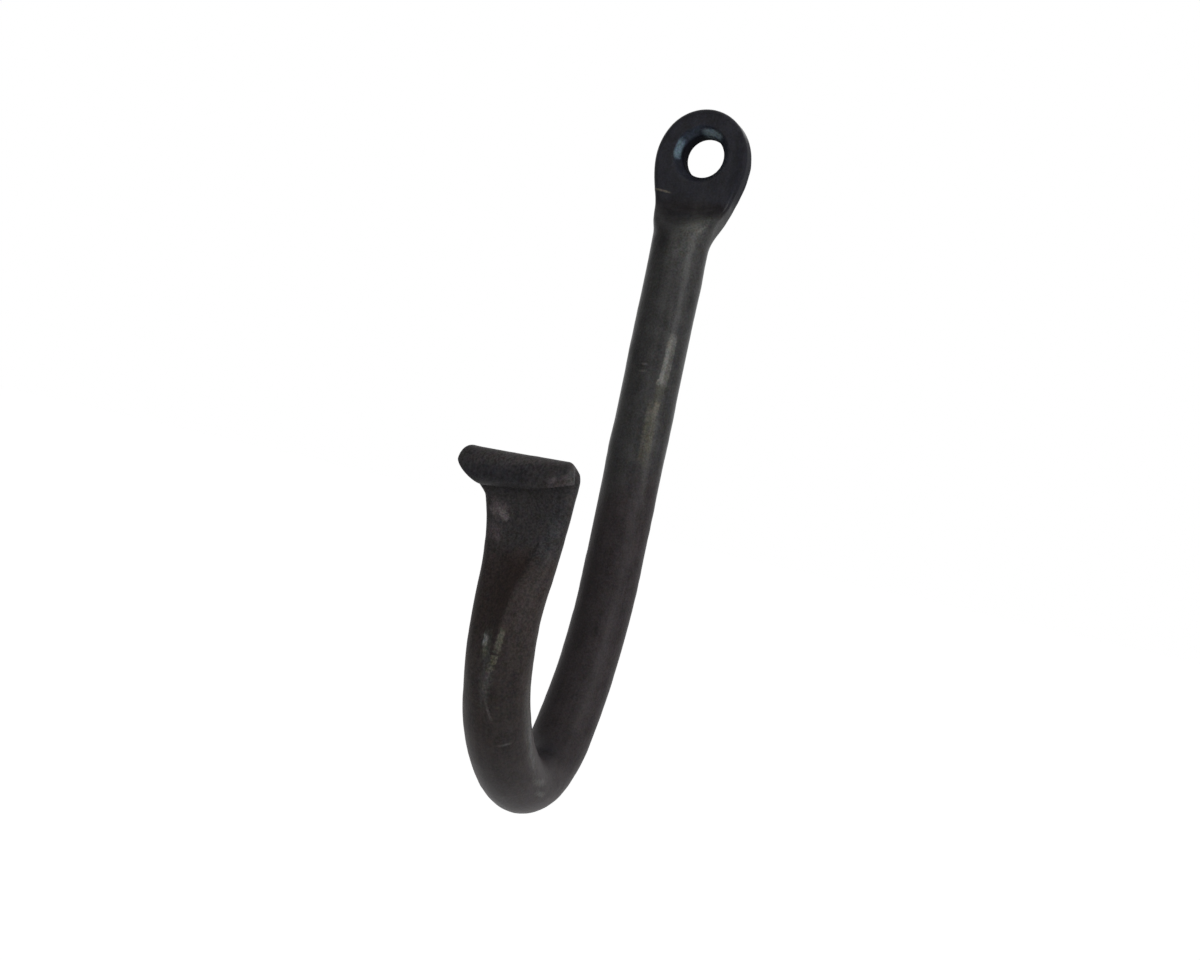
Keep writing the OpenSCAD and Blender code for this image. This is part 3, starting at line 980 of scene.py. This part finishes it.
# On the right side of the leg and round the bottom bend, where things hang and rub: smears, a
# scratch and a spot, with a painted reflection and a painted highlight line along the leg's right
# side and painted shade inside the bend.
color = lay_on(color, (
    # Painted reflection along the leg's right side, with a painted highlight line in it.
    ("painted reflection on the leg's right side", (0.044, 0.040, 0.038), (5.1, 0.0, 139.0),
     (-90, 0), (0.9, 1.5, 8.5), (0.25, 1.2, 1)),
    ("its painted highlight line", (0.062, 0.060, 0.060), (5.1, 0.4, 136.0),
     (-90, -5), (0.5, 1.2, 5.0), (0.3, 1.0, 1)),
    ("slanting smear at the bend", (0.056, 0.054, 0.052), (5.1, -0.2, 126.0),
     (-90, 20), (0.45, 1.2, 1.9), (0.5, 1.6, 1)),
    ("smear under the bend", (0.066, 0.064, 0.061), (4.9, -1.3, 123.8),
     (-105, 10), (0.4, 1.2, 1.2), (0.5, 1.6, 1)),
    ("cross scratch", (0.052, 0.049, 0.047), (3.1, -4.0, 139.1),
     (-142, 4), (1.1, 1.0, 0.17), (0.15, 0.9, 1)),
    ("spot under the bend", (0.055, 0.054, 0.053), (-0.5, -5.0, 125.0),
     (180, 0), (0.8, 1.2, 1.0), (0.5, 1.2, 1)),
    # Painted shade in the crook inside the bend.
    ("painted shade inside the bend", (0.015, 0.0145, 0.017), (1.0, 4.9, 114.5),
     (-12, 0), (2.2, 1.5, 5.0), (0.2, 1.6, 0.7)),
))
# On the tail's face below the lip, on the roll and on the ledge of its free edge: pink patches, the
# roll paler on top, painted shade on its front and a painted shadow under it, and painted light on
# the ledge and its corner.
color = lay_on(color, (
    ("pink patch on the tail", (0.066, 0.056, 0.057), (-3.9, -1.5, 172.5),
     (180, -25), (1.6, 1.4, 1.2), (0.4, 0.9, 1)),
    ("its pale middle", (0.105, 0.092, 0.094), (-3.1, -1.5, 171.8),
     (180, -25), (1.0, 1.2, 0.6), (0.5, 0.8, 0.9)),
    ("pink patch below it", (0.052, 0.043, 0.045), (-4.2, -1.6, 168.9),
     (180, 0), (1.1, 1.2, 1.1), (0.4, 1.2, 1)),
    ("grey right side of the tail", (0.034, 0.0335, 0.0355), (5.0, -1.5, 171.4),
     (180, -8), (0.9, 1.4, 3.8), (0.4, 1.2, 1)),
    ("top of the roll", (0.057, 0.051, 0.052), (1.5, 1.0, 182.6),
     (0, 3), (6.5, 1.2, 1.5), (0.2, 1.2, 0.8)),
    # Painted shade on the roll's front and a painted shadow under it.
    ("painted shade on the front of the roll", (0.016, 0.0155, 0.019), (-3.6, 0.9, 185.5),
     (0, -3), (5.6, 1.4, 1.3), (0.2, 1.2, 0.7)),
    ("painted shadow under the roll", (0.009, 0.008, 0.009), (-5.0, 0.6, 187.5),
     (0, 0), (4.6, 1.4, 0.8), (0.1, 0.8, 1)),
    # Painted light on the lit ledge of the free edge and on its corner.
    ("painted light on the ledge at the right", (0.056, 0.048, 0.050), (6.9, 0.8, 186.9),
     (0, 8), (2.3, 1.6, 0.95), (0.08, 0.4, 1)),
    ("painted light on the corner of the ledge", (0.044, 0.043, 0.043), (8.4, 0.3, 185.6),
     (0, 0), (0.7, 1.6, 1.8), (0.15, 0.8, 1)),
))
# In the countersink: the cone darker and bluer, the bore painted near black as painted shade, and
# two bright arcs with blue between them, painted reflections on the cone's walls. These marks are
# measured round the hole: along the turn at the arcs' radius, up from the axis, and out from the
# middle.
arc_r = 4.5
spot = add(tree, "ShaderNodeSeparateXYZ", {"Vector": place}).outputs
bearing = maths(tree, "ARCTAN2", spot["X"], maths(tree, "MULTIPLY", spot["Z"], -1))
squares = [maths(tree, "POWER", spot[axis], 2) for axis in "XZ"]
out = add(tree, "ShaderNodeMath", {0: maths(tree, "ADD", *squares)}, operation="SQRT").outputs[0]
polar = add(tree, "ShaderNodeCombineXYZ", {
    "X": maths(tree, "MULTIPLY", bearing, arc_r), "Y": spot["Y"], "Z": out}).outputs[0]
color = lay_on(color, (
    ("dark blue cone", (0.0155, 0.0175, 0.025), (0, -1.2, 0),
     (0, 0), (20, 2.0, 5.15), (0.05, 0.2, 0.7)),
    # Painted shade in the bore.
    ("painted shade in the bore", (0.003, 0.003, 0.005), (0, -3.4, 0),
     (0, 0), (20, 2.0, 3.95), (0.0, 0.1, 1)),
    # Painted reflections: blue between the arcs and the two bright arcs.
    ("painted reflection between the arcs", (0.030, 0.038, 0.052), (-2.4, -1.2, 4.4),
     (0, 0), (2.6, 2.0, 0.5), (0.1, 1.2, 0.7)),
    ("upper painted reflection arc", (0.165, 0.210, 0.240), (1.3, -1.2, 4.25),
     (0, -4), (1.8, 2.0, 0.46), (0.12, 0.9, 1)),
    ("left painted reflection arc", (0.105, 0.150, 0.185), (-6.5, -1.2, 4.5),
     (0, 0), (1.6, 2.0, 0.40), (0.12, 0.8, 1)),
), polar)
color = lay_on(color, (
    # Painted highlight along the raised burr.
    ("painted highlight on the burr", (0.110, 0.098, 0.080), (-5.7, -0.3, 7.2),
     (0, -6), (1.7, 1.5, 0.17), (0.08, 0.9, 0.8)),
))

color = blend(tree, 1, color, scale_skin.outputs["Grain"], "MULTIPLY")
tree.links.new(color, shader.inputs["Base Color"])

# Oiled scale is a low satin, rougher where it is clouded, and dull in the countersink and the bore
# and on the right flank of the eye.
oiled, clouded, bare_dull = 0.27, 0.22, 0.7
uneven = maths(tree, "MULTIPLY", scale_skin.outputs["Unevenness"], clouded)
flank = maths(tree, "MULTIPLY", ramp(tree, spot["X"], 6.6, 7.8, 0, 0.45),
              ramp(tree, spot["Z"], 17, 12))
dull = maths(tree, "MAXIMUM", flank, ramp(tree, out, 5.2, 4.6))
dull = maths(tree, "ADD", uneven, maths(tree, "MULTIPLY", dull, bare_dull))
tree.links.new(maths(tree, "ADD", oiled, dull), shader.inputs["Roughness"])
shader.inputs["Specular IOR Level"].default_value = 0.07
peel_depth = 0.03 * mm
bump = add(tree, "ShaderNodeBump", {
    "Height": scale_skin.outputs["Height"], "Strength": 1.0, "Distance": peel_depth})
tree.links.new(bump.outputs["Normal"], shader.inputs["Normal"])
drilled.materials.clear()
drilled.materials.append(iron)
